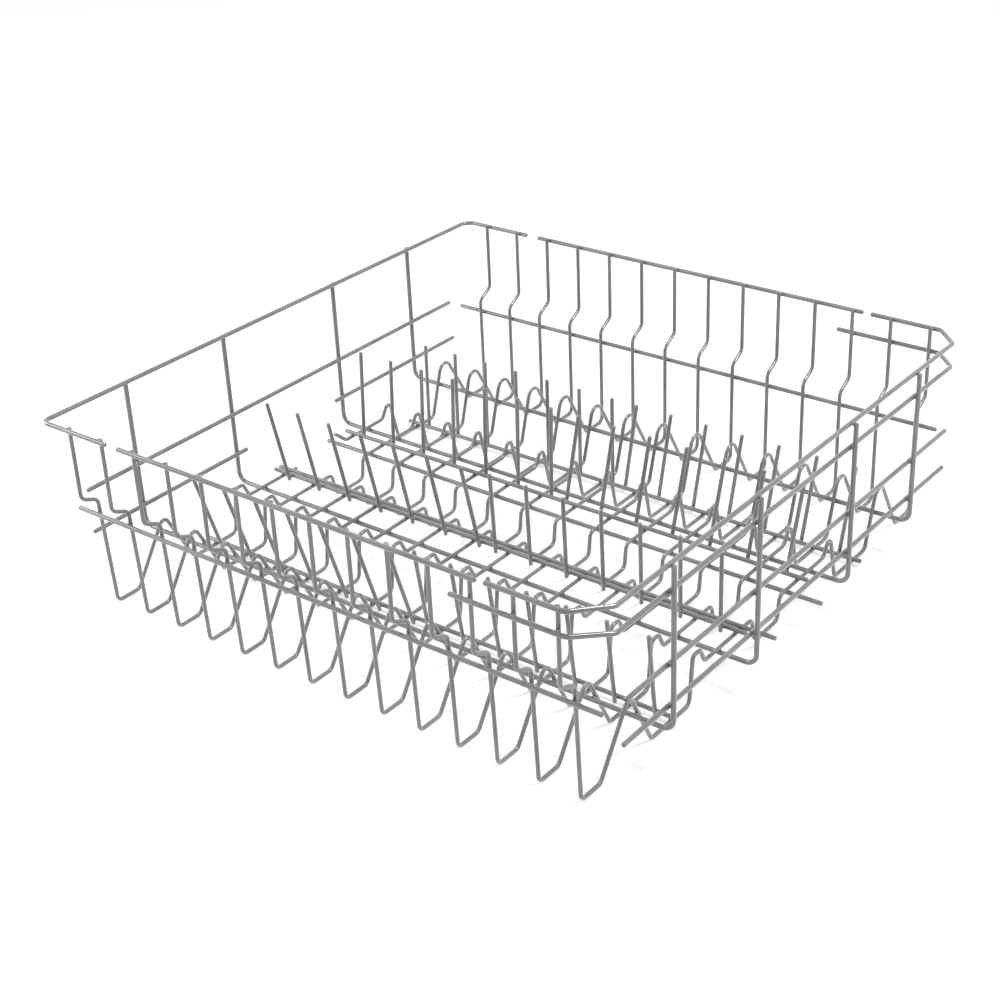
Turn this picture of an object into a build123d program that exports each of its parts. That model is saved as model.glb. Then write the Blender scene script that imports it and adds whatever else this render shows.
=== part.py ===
from build123d import *
import math
import os

# Dishwasher basket of welded, coated round wire, in millimetres.
# X runs from the left wall to the right wall, Y from the front wall to the back wall, Z up.
# The origin is on the surface the feet stand on, in the middle of the basket.

# Wire diameters, coating included, and the gap left where two coated wires meet at a weld
profile_d = 3.3
tine_d = 3.4
cross_d = 3.8
side_d = 3.8
frame_d = 4.0
rim_d = 3.8
weld_gap = 0.05
end_chamfer = 0.8

# Profile wires stand in planes across X, one every pitch; the side walls are a margin outside them
profile_count = 14
profile_pitch = 35.0
side_margin = 27.2

# Heights above the surface the basket stands on, and how much higher the rims are along the front
rim_z = 161.4
lower_rim_drop = 20.1
upper_front_lift = 2.8
lower_front_lift = 4.5
left_front_lift = 2.2
front_top_lift = 2.2
tip_above_rim = 3.5

# Heights of the profile wire's axis above its own floor level
raised_rise = 26.9
trough_rise = 6.0

# Front wall step, leg, foot and first hump, front to back
step_top_rise = 101.0
step_low_rise = 94.5
step_depth = 15.3
step_r = 6.5
leg_rake = 4.0
foot_length = 22.7
foot_r = 5.0
hump_run = 35.0
hump_rise = 52.0
hump_fall = 26.8
hump_r = 5.0

# Front floor run and the peak that closes it
front_floor_length = 49.1
floor_bend_r = 6.0
peak_rake = 4.6
peak_rise = 39.4
peak_length = 9.3
peak_fall = 6.2
peak_r = 4.0

# Raised run, trough, and the raised run up to the rear peak
raised_front_length = 65.8
raised_r = 5.0
trough_fall = 4.6
trough_length = 33.7
trough_climb = 2.9
trough_r = 6.0
raised_back_length = 66.8
rear_peak_run = 10.3
rear_peak_rise = 44.3
rear_peak_fall = 10.3
rear_peak_r = 4.0

# Rear floor run, tall hoop, back foot and back wall step
rear_floor_length = 51.1
hoop_run = 18.6
hoop_rise = 59.9
hoop_fall = 34.7
hoop_r = 8.0
back_foot_length = 26.0
back_step_low_rise = 91.8
back_step_top_rise = 100.0
back_step_depth = 15.4

# The far left profile wire stops past the second tine row and starts again before the third
front_piece_tail = 10.8
rear_piece_lead = 9.5
rear_piece_slope = 14.0
rear_piece_lift = 12.0

# Support frames: places along the raised runs, heights in the hump and the hoop, ends of the uprights
frame_two_place = 19.9
frame_three_place = 48.9
frame_one_rise = 30.4
frame_four_rise = 29.1
frame_bend_r = 9.0
frame_left_tip = 0.9
frame_right_tip = 0.6

# Rims: how far each wire ends past the profile wire nearest to its end
left_return_tail = 9.5
top_left_tail = 13.0
top_right_tail = 8.0
right_return_tail = 20.2
lower_return_tail = 15.5
left_corner_r = 7.0
left_chamfer = 6.0
right_chamfer_x = 19.5
right_chamfer_front_y = 27.0
right_chamfer_back_y = 19.5
right_chamfer_r = 7.0

# Side wires along Y: heights above floor level, and how far inside the front and back walls they end
left_mid_rise = 88.5
left_low_rise = 51.0
left_front_inset = 27.2
left_back_inset = 29.2
left_low_front_tail = 9.0
left_low_rear_tail = 13.5
left_low_back_inset = 26.2
right_mid_rise = 83.4
right_low_rise = 49.8
right_mid_front_inset = 33.0
right_low_front_inset = 29.5
right_back_inset = 17.2

# Long wires outside the front legs and the back uprights
front_low_rise = 82.6
back_mid_rise = 79.0
front_low_left_tail = 20.3
front_low_right_tail = 24.3
back_mid_left_tail = 27.7
back_mid_right_tail = 17.5

# Floor cross wires: places along their runs of the profile wire, and tails past the outer profile wires
row_a_place = 25.4
row_b_place = 42.3
row_b_pair_pitch = 6.2
under_wire_place = 12.4
row_c_place = 25.8
row_d_place = 26.9
cross_tail = 9.5
row_a_right_tail = 2.6
row_c_left_tail = 7.6
pair_right_tail = 30.5
under_left_tail = 18.0
under_right_tail = 29.5

# Tines: two mirrored halves of each row, with the height of each row's tops over its cross wire's axis
tines_per_half = 7
row_a_first_x = 7.7
row_b_first_x = 8.4
row_c_first_x = 7.8
row_d_first_x = 6.6
tine_pitch = 34.8
tine_splay = 6.2
row_a_left_height = 73.0
row_a_right_height = 77.5
row_b_left_height = 72.6
row_b_right_height = 74.0
row_c_height = 75.2
row_d_height = 76.2
tine_tail = 3.0
row_a_lean = -17.1
row_b_lean = -10.5
row_c_lean = 11.1
row_d_lean = 9.1


# Takes the sharp edge off both cut ends, as the coating does
def soft_ends(wire):
    ends = wire.faces().filter_by(GeomType.PLANE)
    return chamfer(ends.edges(), end_chamfer)


# A round wire along straight runs joined by tangent arcs
def bent_wire(points, radii, diameter):
    path = FilletPolyline(*points, radius=radii)
    section = Plane(origin=path @ 0, z_dir=path % 0) * Circle(diameter / 2)
    return soft_ends(sweep(section, path=path))


# A straight round wire between two points
def straight_wire(start, end, diameter):
    run = Vector(*end) - Vector(*start)
    plane = Plane(origin=start, z_dir=run)
    return soft_ends(extrude(plane * Circle(diameter / 2), amount=run.length))


# Distance between the axes of two wires welded together
def seat(one_d, other_d):
    return (one_d + other_d) / 2 + weld_gap


def save(node, shape):
    export_step(shape, os.path.join("parts", node + ".step"))


os.makedirs("parts", exist_ok=True)

floor_z = profile_d / 2
raised_z = floor_z + raised_rise
tip_z = rim_z + tip_above_rim
columns = [(i - (profile_count - 1) / 2) * profile_pitch for i in range(profile_count)]
left_rim_x = columns[0] - side_margin
right_rim_x = columns[-1] + side_margin

# Corners along the profile wire, front to back, from the front wall
step_y = step_depth
foot_y = step_y + leg_rake
foot_back_y = foot_y + foot_length
hump_y = foot_back_y + hump_run
floor_y = hump_y + hump_fall
peak_y = floor_y + front_floor_length
peak_front_y = peak_y + peak_rake
peak_back_y = peak_front_y + peak_length
raised_y = peak_back_y + peak_fall
drop_y = raised_y + raised_front_length
trough_y = drop_y + trough_fall
trough_back_y = trough_y + trough_length
climb_y = trough_back_y + trough_climb
rear_rise_y = climb_y + raised_back_length
rear_peak_y = rear_rise_y + rear_peak_run
rear_floor_y = rear_peak_y + rear_peak_fall
hoop_foot_y = rear_floor_y + rear_floor_length
hoop_y = hoop_foot_y + hoop_run
back_foot_y = hoop_y + hoop_fall
back_leg_y = back_foot_y + back_foot_length
depth = back_leg_y + back_step_depth

# Each corner is its distance from the front wall, its height above floor level and its bend radius
profile = [
    (0, tip_z - floor_z, 0),
    (0, step_top_rise, step_r),
    (step_y, step_low_rise, step_r),
    (foot_y, 0, foot_r),
    (foot_back_y, 0, foot_r),
    (hump_y, hump_rise, hump_r),
    (floor_y, 0, foot_r),
    (peak_y, 0, floor_bend_r),
    (peak_front_y, peak_rise, peak_r),
    (peak_back_y, peak_rise, peak_r),
    (raised_y, raised_rise, peak_r),
    (drop_y, raised_rise, raised_r),
    (trough_y, trough_rise, trough_r),
    (trough_back_y, trough_rise, trough_r),
    (climb_y, raised_rise, raised_r),
    (rear_rise_y, raised_rise, floor_bend_r),
    (rear_peak_y, rear_peak_rise, rear_peak_r),
    (rear_floor_y, 0, foot_r),
    (hoop_foot_y, 0, floor_bend_r),
    (hoop_y, hoop_rise, hoop_r),
    (back_foot_y, 0, foot_r),
    (back_leg_y, 0, floor_bend_r),
    (back_leg_y, back_step_low_rise, step_r),
    (depth, back_step_top_rise, step_r),
    (depth, tip_z - floor_z, 0),
]


# The place in Y of a distance from the front wall
def at(distance):
    return distance - depth / 2


def profile_wire(corners):
    points = [(0, at(y), floor_z + rise) for y, rise, r in corners]
    return bent_wire(points, [r for y, rise, r in corners[1:-1]], profile_d)


row_b_y = at(raised_y + row_b_place)
pair_y = row_b_y + row_b_pair_pitch
under_y = at(climb_y + under_wire_place)
whole_wire = profile_wire(profile)
front_end = (raised_y + row_b_place + row_b_pair_pitch + front_piece_tail, raised_rise, 0)
rear_tip_y = climb_y + under_wire_place - rear_piece_lead
rear_start = [
    (rear_tip_y, raised_rise + rear_piece_lift, 0),
    (rear_tip_y + rear_piece_slope, raised_rise, raised_r),
]
front_wire = profile_wire(profile[:11] + [front_end])
rear_wire = profile_wire(rear_start + profile[15:])
save("profile_wire_01_front", Pos(X=columns[0]) * front_wire)
save("profile_wire_01_rear", Pos(X=columns[0]) * rear_wire)
for i in range(1, profile_count):
    save(f"profile_wire_{i + 1:02d}", Pos(X=columns[i]) * whole_wire)


# Where a wire at a height above floor level lies against a sloping leg of the profile wire, in Y:
# the leg starts at floor level and goes run along Y over rise, and the wire is on one side of it
def against_leg(start_y, run, rise, height, distance, side):
    along = start_y + run * height / rise
    return along + side * distance * math.hypot(run, rise) / rise


# Support frames: inside the first hump, under the two raised runs, and inside the hoop
frame_seat = seat(frame_d, profile_d)
left_upright_x = left_rim_x - seat(rim_d, frame_d)
right_upright_x = right_rim_x + seat(rim_d, frame_d)
frame_one_y = against_leg(at(floor_y), -hump_fall, hump_rise, frame_one_rise, frame_seat, -1)
frame_four_y = against_leg(at(hoop_foot_y), hoop_run, hoop_rise, frame_four_rise, frame_seat, 1)
frame_two_y = at(raised_y + frame_two_place)
frame_three_y = at(climb_y + frame_three_place)
frames = [
    (frame_one_y, floor_z + frame_one_rise),
    (frame_two_y, raised_z - frame_seat),
    (frame_three_y, raised_z - frame_seat),
    (frame_four_y, floor_z + frame_four_rise),
]
for i, (y, z) in enumerate(frames):
    points = [
        (left_upright_x, y, rim_z + frame_left_tip),
        (left_upright_x, y, z),
        (right_upright_x, y, z),
        (right_upright_x, y, rim_z + frame_right_tip),
    ]
    save(f"support_frame_{i + 1}", bent_wire(points, [frame_bend_r] * 2, frame_d))

# Rims outside the profile tips, and the straight top wires between the ends of their returns
front_rim_y = at(0) - seat(rim_d, profile_d)
back_rim_y = at(depth) + seat(rim_d, profile_d)
left_return_x = columns[1] + left_return_tail
left_front_z = rim_z + left_front_lift
left_rim = [
    (left_return_x, front_rim_y, left_front_z),
    (left_rim_x, front_rim_y, left_front_z),
    (left_rim_x, back_rim_y - left_chamfer, rim_z),
    (left_rim_x + left_chamfer, back_rim_y, rim_z),
    (left_return_x, back_rim_y, rim_z),
]
save("left_rim", bent_wire(left_rim, [left_corner_r] * 3, rim_d))


def right_rim(end_x, z, front_lift):
    front_z = z + front_lift
    points = [
        (end_x, front_rim_y, front_z),
        (right_rim_x - right_chamfer_x, front_rim_y, front_z),
        (right_rim_x, front_rim_y + right_chamfer_front_y, z),
        (right_rim_x, back_rim_y - right_chamfer_back_y, z),
        (right_rim_x - right_chamfer_x, back_rim_y, z),
        (end_x, back_rim_y, z),
    ]
    return bent_wire(points, [right_chamfer_r] * 4, rim_d)


upper_end_x = columns[-2] - right_return_tail
lower_end_x = columns[-3] - lower_return_tail
save("right_upper_rim", right_rim(upper_end_x, rim_z, upper_front_lift))
save("right_lower_rim", right_rim(lower_end_x, rim_z - lower_rim_drop, lower_front_lift))
top_left_x = columns[2] - top_left_tail
top_right_x = columns[-3] + top_right_tail
for node, y, lift in (("front_top_wire", front_rim_y, front_top_lift), ("back_top_wire", back_rim_y, 0)):
    z = rim_z + lift
    save(node, straight_wire((top_left_x, y, z), (top_right_x, y, z), rim_d))

# Side wires on the inner faces of the frame uprights
side_seat = seat(side_d, frame_d)
left_x = left_upright_x + side_seat
right_x = right_upright_x - side_seat
left_front_y = at(left_front_inset)
left_back_y = at(depth - left_back_inset)
left_low_back_y = at(depth - left_low_back_inset)
right_mid_front_y = at(right_mid_front_inset)
right_low_front_y = at(right_low_front_inset)
right_back_y = at(depth - right_back_inset)
side_wires = [
    ("left_mid_wire", left_x, left_mid_rise, left_front_y, left_back_y),
    ("left_low_wire_front", left_x, left_low_rise, left_front_y, frame_two_y + left_low_front_tail),
    ("left_low_wire_rear", left_x, left_low_rise, frame_three_y - left_low_rear_tail, left_low_back_y),
    ("right_mid_wire", right_x, right_mid_rise, right_mid_front_y, right_back_y),
    ("right_low_wire", right_x, right_low_rise, right_low_front_y, right_back_y),
]
for node, x, rise, start_y, end_y in side_wires:
    z = floor_z + rise
    save(node, straight_wire((x, start_y, z), (x, end_y, z), side_d))

# Long wires against the outside of the front legs and of the back uprights
cross_seat = seat(cross_d, profile_d)
front_low_y = against_leg(at(foot_y), -leg_rake, step_low_rise, front_low_rise, cross_seat, -1)
outer_wires = [
    ("front_low_wire", front_low_y, floor_z + front_low_rise, front_low_left_tail, front_low_right_tail),
    ("back_mid_wire", at(back_leg_y) + cross_seat, floor_z + back_mid_rise, back_mid_left_tail, back_mid_right_tail),
]
for node, y, z, left_tail, right_tail in outer_wires:
    start_x = columns[0] - left_tail
    end_x = columns[-1] + right_tail
    save(node, straight_wire((start_x, y, z), (end_x, y, z), cross_d))

# Floor cross wires, on top of the profile wires but for the one under the raised run
row_a_y = at(floor_y + row_a_place)
row_c_y = at(climb_y + row_c_place)
row_d_y = at(rear_floor_y + row_d_place)
over_floor_z = floor_z + cross_seat
over_raised_z = raised_z + cross_seat
cross_wires = [
    ("tine_wire_a", row_a_y, over_floor_z, cross_tail, row_a_right_tail),
    ("tine_wire_b_front", row_b_y, over_raised_z, cross_tail, cross_tail),
    ("tine_wire_b_back", pair_y, over_raised_z, cross_tail, pair_right_tail),
    ("under_wire", under_y, raised_z - cross_seat, under_left_tail, under_right_tail),
    ("tine_wire_c", row_c_y, over_raised_z, row_c_left_tail, cross_tail),
    ("tine_wire_d", row_d_y, over_floor_z, cross_tail, cross_tail),
]
for node, y, z, left_tail, right_tail in cross_wires:
    start = (columns[0] - left_tail, y, z)
    end = (columns[-1] + right_tail, y, z)
    save(node, straight_wire(start, end, cross_d))

# Tines stand against their cross wire on the side they lean to, and splay away from the middle
tine_seat = seat(tine_d, cross_d)


def tine(x, splay, wire_y, wire_z, lean, height):
    rake = Vector(splay, lean, height).normalized()
    outward = Vector(0, math.copysign(height, lean), -abs(lean)).normalized()
    foot = Vector(x, wire_y, wire_z) + outward * tine_seat
    start = foot - rake * tine_tail
    end = foot + rake * (height / rake.Z)
    return straight_wire(tuple(start), tuple(end), tine_d)


tine_rows = [
    ("a", row_a_y, over_floor_z, row_a_first_x, row_a_lean, row_a_left_height, row_a_right_height),
    ("b", row_b_y, over_raised_z, row_b_first_x, row_b_lean, row_b_left_height, row_b_right_height),
    ("c", row_c_y, over_raised_z, row_c_first_x, row_c_lean, row_c_height, row_c_height),
    ("d", row_d_y, over_floor_z, row_d_first_x, row_d_lean, row_d_height, row_d_height),
]
for row, y, z, first_x, lean, left_height, right_height in tine_rows:
    for half, sign, height in (("left", -1, left_height), ("right", 1, right_height)):
        first = tine(sign * first_x, sign * tine_splay, y, z, lean, height)
        tines = [Pos(X=sign * i * tine_pitch) * first for i in range(tines_per_half)]
        save(f"tines_{row}_{half}", Compound(children=tines))
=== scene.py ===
import bpy, bmesh, math
import numpy as np
from mathutils import Matrix, Vector
from mathutils.bvhtree import BVHTree


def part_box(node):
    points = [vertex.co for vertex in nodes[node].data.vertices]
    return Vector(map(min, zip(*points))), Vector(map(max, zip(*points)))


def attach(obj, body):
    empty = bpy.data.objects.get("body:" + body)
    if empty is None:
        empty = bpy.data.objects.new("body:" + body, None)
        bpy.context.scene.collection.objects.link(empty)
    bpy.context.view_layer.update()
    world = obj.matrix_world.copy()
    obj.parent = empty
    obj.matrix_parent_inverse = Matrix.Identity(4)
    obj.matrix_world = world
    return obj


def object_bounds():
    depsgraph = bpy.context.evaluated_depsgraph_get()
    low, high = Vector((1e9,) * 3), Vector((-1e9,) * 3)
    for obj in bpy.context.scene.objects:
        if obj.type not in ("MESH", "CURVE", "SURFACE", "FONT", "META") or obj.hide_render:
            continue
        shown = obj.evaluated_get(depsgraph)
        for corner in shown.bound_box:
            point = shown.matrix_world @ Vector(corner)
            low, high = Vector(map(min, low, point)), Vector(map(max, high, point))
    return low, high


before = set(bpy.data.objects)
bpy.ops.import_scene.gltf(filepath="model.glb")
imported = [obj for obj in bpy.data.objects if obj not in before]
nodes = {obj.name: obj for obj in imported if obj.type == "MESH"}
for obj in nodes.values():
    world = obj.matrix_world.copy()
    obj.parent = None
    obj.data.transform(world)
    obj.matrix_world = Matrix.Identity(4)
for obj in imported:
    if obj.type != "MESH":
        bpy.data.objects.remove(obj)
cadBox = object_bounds()
scene = bpy.context.scene
bpy.ops.object.select_all(action="DESELECT")
print("frame loaded:", len(nodes), "wires and tine rows")

# view from the right of the front, a little above
cameraLook = {
    "place": (0.80700, -1.02887, 0.76426),
    "turn": (61.4727, 2.3338, 37.5516),
    "lens": 66.147,
    "sensor": 36.0,
    "far": 20.0,
}


def addCamera():
    turn = [math.radians(angle) for angle in cameraLook["turn"]]
    bpy.ops.object.camera_add(location=cameraLook["place"], rotation=turn)
    camera = bpy.context.object
    camera.name = "photoCamera"
    camera.data.sensor_width = cameraLook["sensor"]
    camera.data.lens = cameraLook["lens"]
    camera.data.clip_end = cameraLook["far"]
    scene.camera = camera


addCamera()
print("camera set")

# grey dipped coat: wires, the fillets at the welds and the thicker ends
wireLook = {
    "pale": (0.258, 0.248, 0.251, 1),
    "dark": (0.172, 0.160, 0.165, 1),
    "gloss": (0.18, 0.28),
    "shine": 0.8,
    "clear": 1.0,
    "clearRough": 0.10,
    "patchScale": 24.0,
    "peelScale": 900.0,
    "peelHeight": 0.00003,
    "peelStrength": 0.35,
}
coatLook = {"patchDetail": 5, "patchRange": (0.35, 0.65), "peelDetail": 2, "runScale": 160}
weldLook = dict(wireLook, dark=(0.145, 0.135, 0.139, 1), gloss=(0.24, 0.38), patchScale=60.0)
endLook = dict(wireLook, pale=(0.255, 0.247, 0.249, 1), gloss=(0.16, 0.26), patchScale=60.0)


def patchGroup():
    group = bpy.data.node_groups.new("coatPatches", "ShaderNodeTree")
    face = group.interface
    face.new_socket("Pale", in_out="INPUT", socket_type="NodeSocketColor")
    face.new_socket("Dark", in_out="INPUT", socket_type="NodeSocketColor")
    face.new_socket("Patch Scale", in_out="INPUT", socket_type="NodeSocketFloat")
    face.new_socket("Color", in_out="OUTPUT", socket_type="NodeSocketColor")
    face.new_socket("Patches", in_out="OUTPUT", socket_type="NodeSocketFloat")
    add, link = group.nodes.new, group.links.new
    into, out = add("NodeGroupInput"), add("NodeGroupOutput")
    coords = add("ShaderNodeTexCoord")
    patches = add("ShaderNodeTexNoise")
    patches.inputs["Detail"].default_value = coatLook["patchDetail"]
    link(coords.outputs["Object"], patches.inputs["Vector"])
    link(into.outputs["Patch Scale"], patches.inputs["Scale"])
    spread = add("ShaderNodeMapRange")
    spread.inputs["From Min"].default_value = coatLook["patchRange"][0]
    spread.inputs["From Max"].default_value = coatLook["patchRange"][1]
    link(patches.outputs["Fac"], spread.inputs["Value"])
    blend = add("ShaderNodeMix")
    blend.data_type = "RGBA"
    link(spread.outputs["Result"], blend.inputs["Factor"])
    link(into.outputs["Dark"], blend.inputs["A"])
    link(into.outputs["Pale"], blend.inputs["B"])
    link(blend.outputs["Result"], out.inputs["Color"])
    link(spread.outputs["Result"], out.inputs["Patches"])
    return group


# slight waviness of a coat that ran before it set
def peelGroup():
    group = bpy.data.node_groups.new("coatPeel", "ShaderNodeTree")
    face = group.interface
    face.new_socket("Peel Scale", in_out="INPUT", socket_type="NodeSocketFloat")
    face.new_socket("Peel", in_out="OUTPUT", socket_type="NodeSocketFloat")
    add, link = group.nodes.new, group.links.new
    into, out = add("NodeGroupInput"), add("NodeGroupOutput")
    coords = add("ShaderNodeTexCoord")
    fine = add("ShaderNodeTexNoise")
    fine.inputs["Detail"].default_value = coatLook["peelDetail"]
    link(coords.outputs["Object"], fine.inputs["Vector"])
    link(into.outputs["Peel Scale"], fine.inputs["Scale"])
    runs = add("ShaderNodeTexNoise")
    runs.inputs["Scale"].default_value = coatLook["runScale"]
    link(coords.outputs["Object"], runs.inputs["Vector"])
    both = add("ShaderNodeMath")
    both.operation = "ADD"
    link(fine.outputs["Fac"], both.inputs[0])
    link(runs.outputs["Fac"], both.inputs[1])
    link(both.outputs[0], out.inputs["Peel"])
    return group


def coatMaterial(name, look):
    material = bpy.data.materials.new(name)
    material.use_nodes = True
    tree = material.node_tree
    shader = tree.nodes["Principled BSDF"]
    patches = tree.nodes.new("ShaderNodeGroup")
    patches.node_tree = coatPatches
    patches.inputs["Pale"].default_value = look["pale"]
    patches.inputs["Dark"].default_value = look["dark"]
    patches.inputs["Patch Scale"].default_value = look["patchScale"]
    tree.links.new(patches.outputs["Color"], shader.inputs["Base Color"])
    shader.inputs["Specular IOR Level"].default_value = look["shine"]
    shader.inputs["Coat Weight"].default_value = look["clear"]
    shader.inputs["Coat Roughness"].default_value = look["clearRough"]
    rough = tree.nodes.new("ShaderNodeMapRange")
    rough.inputs["To Min"].default_value = look["gloss"][0]
    rough.inputs["To Max"].default_value = look["gloss"][1]
    tree.links.new(patches.outputs["Patches"], rough.inputs["Value"])
    tree.links.new(rough.outputs["Result"], shader.inputs["Roughness"])
    peel = tree.nodes.new("ShaderNodeGroup")
    peel.node_tree = coatPeel
    peel.inputs["Peel Scale"].default_value = look["peelScale"]
    bump = tree.nodes.new("ShaderNodeBump")
    bump.inputs["Strength"].default_value = look["peelStrength"]
    bump.inputs["Distance"].default_value = look["peelHeight"]
    tree.links.new(peel.outputs["Peel"], bump.inputs["Height"])
    tree.links.new(bump.outputs["Normal"], shader.inputs["Normal"])
    return material


coatPatches, coatPeel = patchGroup(), peelGroup()
wireCoat = coatMaterial("greyCoat", wireLook)
weldCoat = coatMaterial("weldCoat", weldLook)
endCoat = coatMaterial("endCoat", endLook)
for node in nodes.values():
    node.data.materials.clear()
    node.data.materials.append(wireCoat)


# copies a model to each place and joins them into one piece
def copiesAt(model, name, matrices, material):
    copies = []
    for matrix in matrices:
        copy = model.copy()
        copy.data = model.data.copy()
        copy.data.transform(matrix)
        scene.collection.objects.link(copy)
        copies.append(copy)
    bpy.ops.object.select_all(action="DESELECT")
    for copy in copies:
        copy.select_set(True)
    bpy.context.view_layer.objects.active = copies[0]
    if len(copies) > 1:
        bpy.ops.object.join()
    piece = bpy.context.view_layer.objects.active
    piece.name = name
    piece.data.name = name
    piece.data.materials.clear()
    piece.data.materials.append(material)
    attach(piece, "root")
    piece.select_set(False)


# weld search: how fine a wire is followed, how near is a weld, and how far apart two welds are
weldSearch = {"step": 0.0015, "reach": 0.0006, "apart": 0.006, "sideways": 0.004, "rounds": 6}


def wirePoints(node):
    mesh = node.data
    corners = np.empty(len(mesh.vertices) * 3)
    mesh.vertices.foreach_get("co", corners)
    corners = corners.reshape(-1, 3)
    edges = np.empty(len(mesh.edges) * 2, dtype=np.int32)
    mesh.edges.foreach_get("vertices", edges)
    starts, runs = corners[edges[0::2]], corners[edges[1::2]] - corners[edges[0::2]]
    counts = np.ceil(np.linalg.norm(runs, axis=1) / weldSearch["step"]).astype(int)
    counts = np.maximum(counts, 1)
    which = np.repeat(np.arange(len(counts)), counts)
    share = (np.arange(len(which)) - (np.cumsum(counts) - counts)[which]) / counts[which]
    return starts[which] + runs[which] * share[:, None]


def meetingPlaces(first, second):
    low, high = boxes[second]
    margin = weldSearch["reach"]
    points = tracks[first]
    near = points[((points > low - margin) & (points < high + margin)).all(axis=1)]
    found = []
    for point in near:
        gap = trees[second].find_nearest(point, margin)[3]
        if gap is not None:
            found.append((gap, Vector(point)))
    found.sort(key=lambda item: item[0])
    places = []
    for gap, point in found:
        if all((point - other).length > weldSearch["apart"] for other in places):
            places.append(point)
    return places


# frame of one weld: along the first wire, across it, and from the first wire into the second
def weldMatrix(first, second, point):
    for turn in range(weldSearch["rounds"]):
        there, inward = trees[second].find_nearest(point)[:2]
        point, outward = trees[first].find_nearest(there)[:2]
    up = (outward - inward).normalized()
    points = tracks[first]
    near = points[(np.abs(points - np.array(point)) < weldSearch["sideways"]).all(axis=1)]
    spread = near - near.mean(axis=0)
    along = Vector(np.linalg.eigh(spread.T @ spread)[1][:, 2])
    along = (along - up * along.dot(up)).normalized()
    across = up.cross(along)
    matrix = Matrix((along, across, up)).transposed().to_4x4()
    matrix.translation = (point + there) / 2
    return matrix


# collar of coat round the touching point of two crossed wires
filletLook = {
    "sides": 16,
    "radius": 0.00178,
    "height": 0.00115,
    "waist": 0.86,
    "saddle": 0.00052,
    "smooth": 50,
}


def weldFillet():
    look = filletLook
    bpy.ops.mesh.primitive_cylinder_add(vertices=look["sides"], radius=look["radius"], depth=look["height"])
    fillet = bpy.context.object
    mesh = fillet.data
    bpy.ops.object.mode_set(mode="EDIT")
    bpy.ops.mesh.select_all(action="SELECT")
    bpy.ops.mesh.bisect(plane_co=(0, 0, 0), plane_no=(0, 0, 1))
    shape = bmesh.from_edit_mesh(mesh)
    for vert in shape.verts:
        vert.select_set(abs(vert.co.z) < look["height"] / 8)
    bmesh.update_edit_mesh(mesh)
    bpy.ops.transform.resize(value=(look["waist"], look["waist"], 1))
    # the rim rises along the first wire and falls along the second
    for step in range(look["sides"] // 4 + 1):
        angle = step * 2 * math.pi / look["sides"]
        shape = bmesh.from_edit_mesh(mesh)
        for face in shape.faces:
            face.select_set(False)
        for vert in shape.verts:
            turned = math.atan2(abs(vert.co.y), abs(vert.co.x))
            vert.select_set(abs(turned - angle) < 0.01)
        bmesh.update_edit_mesh(mesh)
        bpy.ops.transform.translate(value=(0, 0, look["saddle"] * math.cos(2 * angle)))
    bpy.ops.object.mode_set(mode="OBJECT")
    bpy.ops.object.shade_smooth_by_angle(angle=math.radians(look["smooth"]))
    return fillet


# highest reach of a fillet over its middle
def filletReach(matrix):
    rise = matrix[2]
    flat = filletLook["radius"] * math.hypot(rise[0], rise[1])
    return flat + (filletLook["height"] / 2 + filletLook["saddle"]) * abs(rise[2])


# where the walls begin, from the middle of the basket
wallStart = {"side": 0.24, "end": 0.225}


# names a wall, the floor or the tines for each weld
def weldGroup(first, second, place):
    if first.startswith("tines") or second.startswith("tines"):
        return "tineWelds"
    if abs(place.x) > wallStart["side"]:
        return "rightWelds" if place.x > 0 else "leftWelds"
    if abs(place.y) > wallStart["end"]:
        return "backWelds" if place.y > 0 else "frontWelds"
    return "floorWelds"


def boxesApart(first, second):
    margin = weldSearch["reach"]
    (lowA, highA), (lowB, highB) = boxes[first], boxes[second]
    return (lowA > highB + margin).any() or (lowB > highA + margin).any()


depsgraph = bpy.context.evaluated_depsgraph_get()
tracks = {name: wirePoints(node) for name, node in nodes.items()}
trees = {name: BVHTree.FromObject(node, depsgraph) for name, node in nodes.items()}
boxes = {name: [np.array(corner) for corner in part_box(name)] for name in nodes}
names = sorted(nodes)
welds = {}
for index, first in enumerate(names):
    for second in names[index + 1:]:
        if boxesApart(first, second):
            continue
        for point in meetingPlaces(first, second):
            matrix = weldMatrix(first, second, point)
            # fillets on the top rim stay under the top of the box
            matrix.translation.z = min(matrix.translation.z, cadBox[1][2] - filletReach(matrix))
            welds.setdefault(weldGroup(first, second, matrix.translation), []).append(matrix)
fillet = weldFillet()
for name in sorted(welds):
    copiesAt(fillet, name, welds[name], weldCoat)
bpy.data.objects.remove(fillet)
print("weld fillets:", {name: len(welds[name]) for name in sorted(welds)})

# rounded drop of coat over a cut end, in wire radii
endSettings = {
    "sides": 12,
    "chamfer": 0.0008,
    "start": (0.97, -0.80),
    "rings": [(1.02, -0.52), (0.97, -0.20), (0.76, 0.06), (0.40, 0.20)],
    "flush": 0.98,
    "smooth": 60,
}
# a cut end in a wire's mesh: flat, of several faces, small and round
endSearch = {"flat": 0.99999, "faces": 6, "reach": 0.003, "round": 0.8}


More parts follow.
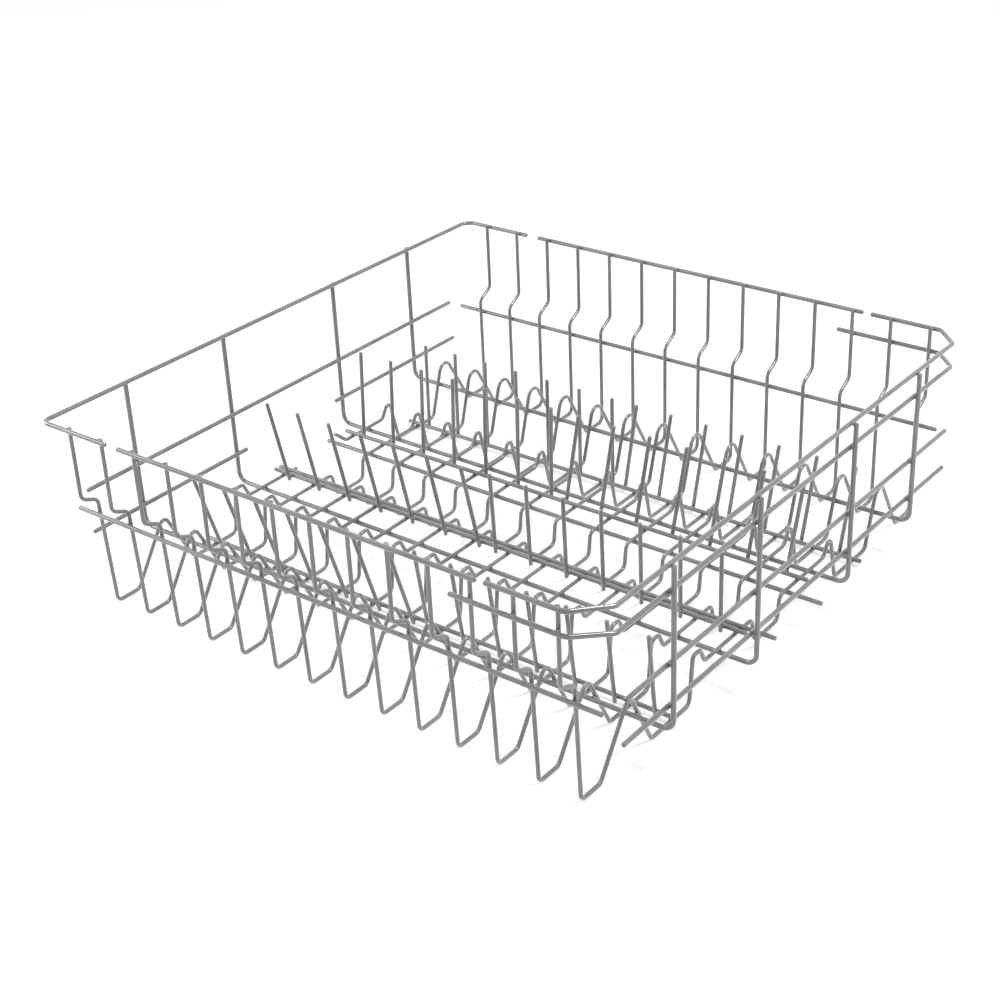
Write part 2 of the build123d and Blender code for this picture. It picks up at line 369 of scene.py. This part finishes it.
def endDrop():
    look = endSettings
    radius, height = look["start"]
    bpy.ops.mesh.primitive_circle_add(
        vertices=look["sides"], radius=radius, location=(0, 0, height), fill_type="NGON"
    )
    drop = bpy.context.object
    bpy.ops.object.transform_apply(location=True)
    bpy.ops.object.mode_set(mode="EDIT")
    bpy.ops.mesh.select_all(action="SELECT")
    for wide, high in look["rings"]:
        bpy.ops.mesh.extrude_region_move(TRANSFORM_OT_translate={"value": (0, 0, high - height)})
        bpy.ops.transform.resize(value=(wide / radius, wide / radius, 1), center_override=(0, 0, high))
        radius, height = wide, high
    bpy.ops.mesh.select_all(action="SELECT")
    bpy.ops.mesh.normals_make_consistent(inside=False)
    bpy.ops.object.mode_set(mode="OBJECT")
    bpy.ops.object.shade_smooth_by_angle(angle=math.radians(look["smooth"]))
    return drop


# round flat faces of a wire are its cut ends
def wireEnds(node):
    shape = bmesh.new()
    shape.from_mesh(node.data)
    bmesh.ops.remove_doubles(shape, verts=shape.verts, dist=1e-6)
    shape.faces.index_update()
    ends, done = [], set()
    for face in shape.faces:
        if face.index in done:
            continue
        flat, todo = [], [face]
        done.add(face.index)
        while todo:
            here = todo.pop()
            flat.append(here)
            for edge in here.edges:
                for other in edge.link_faces:
                    if other.index not in done and other.normal.dot(face.normal) > endSearch["flat"]:
                        done.add(other.index)
                        todo.append(other)
        if len(flat) < endSearch["faces"]:
            continue
        corners = {vert for part in flat for vert in part.verts}
        middle = sum((vert.co for vert in corners), Vector()) / len(corners)
        reach = [(vert.co - middle).length for vert in corners]
        if max(reach) < endSearch["reach"] and min(reach) > endSearch["round"] * max(reach):
            ends.append((middle, face.normal.copy(), max(reach) + endSettings["chamfer"]))
    shape.free()
    return ends


drops = {}
for name, node in nodes.items():
    group = "tineEnds" if name.startswith("tines") else "wireEnds"
    inside = name.startswith(("tines", "tine_wire", "under_wire"))
    for middle, outward, radius in wireEnds(node):
        wide = radius if inside else radius * endSettings["flush"]
        # ends on the outside don't pass the cut, so the box stays as it is
        if not inside:
            middle = middle - outward * radius * endSettings["rings"][-1][1]
        turn = outward.to_track_quat("Z", "Y")
        matrix = Matrix.LocRotScale(middle, turn, Vector((wide, wide, radius)))
        drops.setdefault(group, []).append(matrix)
drop = endDrop()
for name in sorted(drops):
    copiesAt(drop, name, drops[name], endCoat)
bpy.data.objects.remove(drop)
print("coat drops on ends:", {name: len(drops[name]) for name in sorted(drops)})

# plain pale floor that keeps a faint shadow, under a white room
floorLook = {
    "size": 8.0,
    "color": (0.78, 0.78, 0.78, 1),
    "roughness": 0.9,
    "shine": 0.1,
    "white": 0.53,
}
roomLook = {
    "back": (0.52, 0.52, 0.515, 1),
    "front": (0.12, 0.098, 0.107, 1),
    "toBack": (-0.75, 0.35, 0.55),
    "range": (-0.7, 0.7),
    "seen": 1.0,
}


# share of white for rays that see the background
def seenShare(tree):
    paths = tree.nodes.new("ShaderNodeLightPath")
    straight = tree.nodes.new("ShaderNodeMath")
    straight.operation = "MAXIMUM"
    tree.links.new(paths.outputs["Is Camera Ray"], straight.inputs[0])
    tree.links.new(paths.outputs["Is Glossy Ray"], straight.inputs[1])
    seen = tree.nodes.new("ShaderNodeMath")
    seen.operation = "MAXIMUM"
    tree.links.new(straight.outputs[0], seen.inputs[0])
    tree.links.new(paths.outputs["Is Transmission Ray"], seen.inputs[1])
    return seen.outputs[0]


def addFloor():
    bpy.ops.mesh.primitive_plane_add(size=floorLook["size"], location=(0, 0, 0))
    floor = bpy.context.object
    floor.name = "floor"
    material = bpy.data.materials.new("paleFloor")
    material.use_nodes = True
    tree = material.node_tree
    shader = tree.nodes["Principled BSDF"]
    shader.inputs["Base Color"].default_value = floorLook["color"]
    shader.inputs["Roughness"].default_value = floorLook["roughness"]
    shader.inputs["Specular IOR Level"].default_value = floorLook["shine"]
    white = tree.nodes.new("ShaderNodeEmission")
    share = tree.nodes.new("ShaderNodeMath")
    share.operation = "MULTIPLY"
    share.inputs[1].default_value = floorLook["white"]
    tree.links.new(seenShare(tree), share.inputs[0])
    tree.links.new(share.outputs[0], white.inputs["Strength"])
    both = tree.nodes.new("ShaderNodeAddShader")
    tree.links.new(shader.outputs[0], both.inputs[0])
    tree.links.new(white.outputs[0], both.inputs[1])
    tree.links.new(both.outputs[0], tree.nodes["Material Output"].inputs["Surface"])
    floor.data.materials.append(material)


def addRoom():
    world = bpy.data.worlds.new("whiteRoom")
    world.use_nodes = True
    scene.world = world
    tree = world.node_tree
    fill = tree.nodes["Background"]
    coords = tree.nodes.new("ShaderNodeTexCoord")
    facing = tree.nodes.new("ShaderNodeVectorMath")
    facing.operation = "DOT_PRODUCT"
    facing.inputs[1].default_value = roomLook["toBack"]
    tree.links.new(coords.outputs["Generated"], facing.inputs[0])
    spread = tree.nodes.new("ShaderNodeMapRange")
    spread.inputs["From Min"].default_value = roomLook["range"][0]
    spread.inputs["From Max"].default_value = roomLook["range"][1]
    tree.links.new(facing.outputs["Value"], spread.inputs["Value"])
    blend = tree.nodes.new("ShaderNodeMix")
    blend.data_type = "RGBA"
    blend.inputs["A"].default_value = roomLook["front"]
    blend.inputs["B"].default_value = roomLook["back"]
    tree.links.new(spread.outputs["Result"], blend.inputs["Factor"])
    tree.links.new(blend.outputs["Result"], fill.inputs["Color"])
    white = tree.nodes.new("ShaderNodeBackground")
    white.inputs["Color"].default_value = (1, 1, 1, 1)
    white.inputs["Strength"].default_value = roomLook["seen"]
    mix = tree.nodes.new("ShaderNodeMixShader")
    tree.links.new(seenShare(tree), mix.inputs[0])
    tree.links.new(fill.outputs[0], mix.inputs[1])
    tree.links.new(white.outputs[0], mix.inputs[2])
    tree.links.new(mix.outputs[0], tree.nodes["World Output"].inputs["Surface"])


# soft box overhead for the streaks on the rims' corners, a wide weak one from the left
lampLook = {
    "overhead": {"place": (0.85, 0.38, 1.83), "size": (0.5, 0.5), "power": 24},
    "left": {"place": (-1.7, -0.8, 0.8), "size": (1.0, 1.0), "power": 18},
}
lampAim = (0, 0, 0.05)


def addLamps():
    for name, look in lampLook.items():
        bpy.ops.object.light_add(type="AREA", location=look["place"])
        lamp = bpy.context.object
        lamp.name = name + "Lamp"
        lamp.data.shape = "RECTANGLE"
        lamp.data.size, lamp.data.size_y = look["size"]
        lamp.data.energy = look["power"]
        aim = Vector(lampAim) - lamp.location
        lamp.rotation_euler = aim.to_track_quat("-Z", "Y").to_euler()


addFloor()
addRoom()
addLamps()
scene.view_settings.view_transform = "Standard"
print("floor, room and lamps set")
